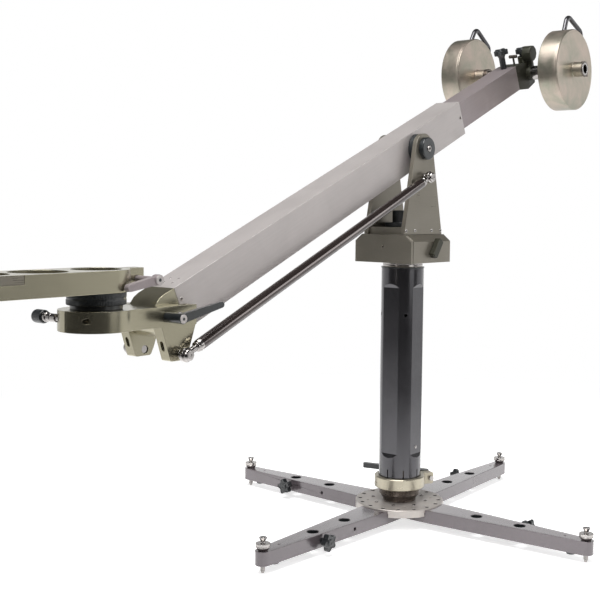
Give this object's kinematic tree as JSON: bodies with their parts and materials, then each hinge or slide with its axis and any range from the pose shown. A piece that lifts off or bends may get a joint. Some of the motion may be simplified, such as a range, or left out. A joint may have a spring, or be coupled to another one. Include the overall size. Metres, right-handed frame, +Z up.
{
  "type": "camera jib crane",
  "caption": "Camera jib crane: star base with levelling screws, column with a turning head, tilting box boom with tie rods, level camera platform and a telescopic arm with disc weights.",
  "frame": {"origin": "on the column's axis, at the underside of the base plate", "axes": "+Z up along the column, +X towards the counterweights, -X towards the camera platform"},
  "size_m": [2.0223, 1.096, 1.391],
  "materials": {
    "plate_metal": "satin machined",
    "leg_paint": "brownish grey metallic, satin",
    "dark_steel": "dark turned steel",
    "nickel_brass": "pale nickel, satin",
    "column_black": "black anodised, satin",
    "bright_steel": "bright turned steel",
    "olive": "olive grey metallic, satin",
    "dark_olive": "dark olive, satin",
    "champagne": "champagne green anodised, satin",
    "boom_paint": "warm grey metallic, fine grain",
    "tube_paint": "dark warm grey metallic",
    "zinc": "yellowish zinc plated steel",
    "rod_black": "black brown gloss",
    "black_plastic": "black, fine grain"
  },
  "bodies": {
    "base": {"base_plate": "plate_metal", "leg_rear": "leg_paint", "leg_left": "leg_paint", "leg_front": "leg_paint", "leg_right": "leg_paint", "column_boss": "dark_steel", "clamp_ring": "nickel_brass", "clamp_ring_bolt": "bright_steel", "column_tube": "column_black", "pan_bearing": "bright_steel", "pan_shaft": "dark_steel"},
    "turntable": {"head_housing": "olive", "housing_cover": "olive", "cheek_left": "olive", "cheek_right": "olive", "tilt_axle": "bright_steel", "rear_rod_pin_left": "bright_steel", "rear_rod_pin_right": "bright_steel", "friction_disc_left": "black_plastic", "friction_disc_right": "black_plastic"},
    "pan_wheel": {"pan_friction_wheel": "black_plastic"},
    "pan_brake": {"pan_brake_lever": "dark_olive"},
    "tilt_knob_left": {"axle_knob_left": "black_plastic"},
    "tilt_knob_right": {"axle_knob_right": "black_plastic"},
    "boom": {"boom_tube": "boom_paint", "boom_nose": "champagne"},
    "rear_arm": {"extension_tube": "tube_paint", "weight_bracket": "dark_olive", "weight_axle": "bright_steel"},
    "weight_left": {"disc_weight_left": "zinc", "weight_handle_left": "dark_steel"},
    "weight_right": {"disc_weight_right": "zinc", "weight_handle_right": "dark_steel"},
    "bracket_knob": {"bracket_lock_knob": "black_plastic"},
    "axle_lock": {"axle_lock_knob": "black_plastic"},
    "weight_pin": {"weight_lock_pin": "dark_steel"},
    "rod_left": {"tie_rod_left": "rod_black"},
    "rod_right": {"tie_rod_right": "rod_black"},
    "head": {"head_fork": "champagne", "front_rod_pin_left": "bright_steel", "front_rod_pin_right": "bright_steel", "head_pivot_pin": "bright_steel"},
    "head_lever": {"head_lock_lever": "black_plastic"},
    "fork_clamp": {"fork_clamp_knob": "black_plastic"},
    "platform": {"pan_grip_ring": "black_plastic", "camera_platform": "champagne"},
    "platform_lever": {"platform_clamp_lever": "black_plastic"},
    "column_clamp": {"clamp_lever": "black_plastic"},
    "levelling_foot_rear": {"levelling_screw_rear": "bright_steel"},
    "foot_lock_rear": {"lock_nut_rear": "bright_steel"},
    "leg_knob_rear": {"socket_knob_rear": "black_plastic"},
    "levelling_foot_left": {"levelling_screw_left": "bright_steel"},
    "foot_lock_left": {"lock_nut_left": "bright_steel"},
    "leg_knob_left": {"socket_knob_left": "black_plastic"},
    "levelling_foot_front": {"levelling_screw_front": "bright_steel"},
    "foot_lock_front": {"lock_nut_front": "bright_steel"},
    "leg_knob_front": {"socket_knob_front": "black_plastic"},
    "levelling_foot_right": {"levelling_screw_right": "bright_steel"},
    "foot_lock_right": {"lock_nut_right": "bright_steel"},
    "leg_knob_right": {"socket_knob_right": "black_plastic"}
  },
  "joints": [
    {"name": "pan", "type": "hinge", "parent": "base", "child": "turntable", "pos_m": [0, 0, 0.6434], "axis": [0, 0, 1], "continuous": true},
    {"name": "boom_tilt", "type": "hinge", "parent": "turntable", "child": "boom", "pos_m": [0, 0, 0.9334], "axis": [0, 1, 0], "range_deg": [-20, 65]},
    {"name": "head_level", "type": "hinge", "parent": "boom", "child": "head", "pos_m": [-0.8405, 0, 0.56672], "axis": [0, 1, 0], "range_deg": [-65, 20]},
    {"name": "tie_rod_swing_left", "type": "hinge", "parent": "turntable", "child": "rod_left", "pos_m": [0, 0.0785, 0.8607], "axis": [0, 1, 0], "range_deg": [-20, 65]},
    {"name": "tie_rod_swing_right", "type": "hinge", "parent": "turntable", "child": "rod_right", "pos_m": [0, -0.0785, 0.8607], "axis": [0, 1, 0], "range_deg": [-20, 65]},
    {"name": "rear_arm_slide", "type": "slide", "parent": "boom", "child": "rear_arm", "axis": [0.9166, 0, 0.3999], "range_m": [-0.1, 0.045]},
    {"name": "weight_spin_left", "type": "hinge", "parent": "rear_arm", "child": "weight_left", "pos_m": [0.60917, 0.1746, 1.19261], "axis": [0, 1, 0], "continuous": true},
    {"name": "weight_spin_right", "type": "hinge", "parent": "rear_arm", "child": "weight_right", "pos_m": [0.60917, -0.1525, 1.19261], "axis": [0, 1, 0], "continuous": true},
    {"name": "bracket_knob_turn", "type": "hinge", "parent": "rear_arm", "child": "bracket_knob", "pos_m": [0.49046, 0, 1.23465], "axis": [-0.3999, 0, 0.9166], "continuous": true},
    {"name": "axle_knob_turn", "type": "hinge", "parent": "rear_arm", "child": "axle_lock", "pos_m": [0.61822, 0, 1.25766], "axis": [-0.3999, 0, 0.9166], "continuous": true},
    {"name": "weight_pin_pull", "type": "slide", "parent": "rear_arm", "child": "weight_pin", "axis": [-0.3999, 0, 0.9166], "range_m": [0, 0.018]},
    {"name": "tilt_knob_turn_left", "type": "hinge", "parent": "turntable", "child": "tilt_knob_left", "pos_m": [0, 0.07, 0.9334], "axis": [0, 1, 0], "continuous": true},
    {"name": "tilt_knob_turn_right", "type": "hinge", "parent": "turntable", "child": "tilt_knob_right", "pos_m": [0, -0.07, 0.9334], "axis": [0, 1, 0], "continuous": true},
    {"name": "pan_wheel_turn", "type": "hinge", "parent": "turntable", "child": "pan_wheel", "pos_m": [0, 0, 0.75], "axis": [0, 0, 1], "continuous": true},
    {"name": "pan_brake_turn", "type": "hinge", "parent": "turntable", "child": "pan_brake", "pos_m": [0.002, -0.09, 0.668], "axis": [0, 1, 0], "range_deg": [-60, 30]},
    {"name": "head_lever_turn", "type": "hinge", "parent": "head", "child": "head_lever", "pos_m": [-0.8735, -0.085, 0.56752], "axis": [0, 1, 0], "range_deg": [-45, 10]},
    {"name": "fork_clamp_turn", "type": "hinge", "parent": "head", "child": "fork_clamp", "pos_m": [-1.0461, 0.09, 0.57122], "axis": [0, 1, 0], "continuous": true},
    {"name": "platform_pan", "type": "hinge", "parent": "head", "child": "platform", "pos_m": [-0.9911, 0, 0.58772], "axis": [0, 0, 1], "range_deg": [-120, 120]},
    {"name": "platform_lever_turn", "type": "hinge", "parent": "platform", "child": "platform_lever", "pos_m": [-0.9061, -0.07, 0.64072], "axis": [0, 1, 0], "range_deg": [-20, 60]},
    {"name": "column_clamp_swing", "type": "hinge", "parent": "base", "child": "column_clamp", "pos_m": [0.08405, -0.0251, 0.072], "axis": [0, 0, 1], "range_deg": [-100, 0]},
    {"name": "levelling_travel_rear", "type": "slide", "parent": "base", "child": "levelling_foot_rear", "axis": [0, 0, 1], "range_m": [-0.004, 0.018]},
    {"name": "lock_nut_turn_rear", "type": "hinge", "parent": "base", "child": "foot_lock_rear", "pos_m": [0.53, 0, 0.025], "axis": [0, 0, 1], "continuous": true},
    {"name": "leg_knob_turn_rear", "type": "hinge", "parent": "base", "child": "leg_knob_rear", "pos_m": [0.356, 0.05, 0.00025], "axis": [0, 1, 0], "continuous": true},
    {"name": "levelling_travel_left", "type": "slide", "parent": "base", "child": "levelling_foot_left", "axis": [0, 0, 1], "range_m": [-0.004, 0.018]},
    {"name": "lock_nut_turn_left", "type": "hinge", "parent": "base", "child": "foot_lock_left", "pos_m": [0, 0.53, 0.025], "axis": [0, 0, 1], "continuous": true},
    {"name": "leg_knob_turn_left", "type": "hinge", "parent": "base", "child": "leg_knob_left", "pos_m": [-0.05, 0.356, 0.00025], "axis": [-1, 0, 0], "continuous": true},
    {"name": "levelling_travel_front", "type": "slide", "parent": "base", "child": "levelling_foot_front", "axis": [0, 0, 1], "range_m": [-0.004, 0.018]},
    {"name": "lock_nut_turn_front", "type": "hinge", "parent": "base", "child": "foot_lock_front", "pos_m": [-0.53, 0, 0.025], "axis": [0, 0, 1], "continuous": true},
    {"name": "leg_knob_turn_front", "type": "hinge", "parent": "base", "child": "leg_knob_front", "pos_m": [-0.356, -0.05, 0.00025], "axis": [0, -1, 0], "continuous": true},
    {"name": "levelling_travel_right", "type": "slide", "parent": "base", "child": "levelling_foot_right", "axis": [0, 0, 1], "range_m": [-0.004, 0.018]},
    {"name": "lock_nut_turn_right", "type": "hinge", "parent": "base", "child": "foot_lock_right", "pos_m": [0, -0.53, 0.025], "axis": [0, 0, 1], "continuous": true},
    {"name": "leg_knob_turn_right", "type": "hinge", "parent": "base", "child": "leg_knob_right", "pos_m": [0.05, -0.356, 0.00025], "axis": [1, 0, 0], "continuous": true}
  ],
  "couplings": [
    {"joint": "head_level", "follows": "boom_tilt", "ratio": -1},
    {"joint": "tie_rod_swing_left", "follows": "boom_tilt", "ratio": 1},
    {"joint": "tie_rod_swing_right", "follows": "boom_tilt", "ratio": 1}
  ]
}
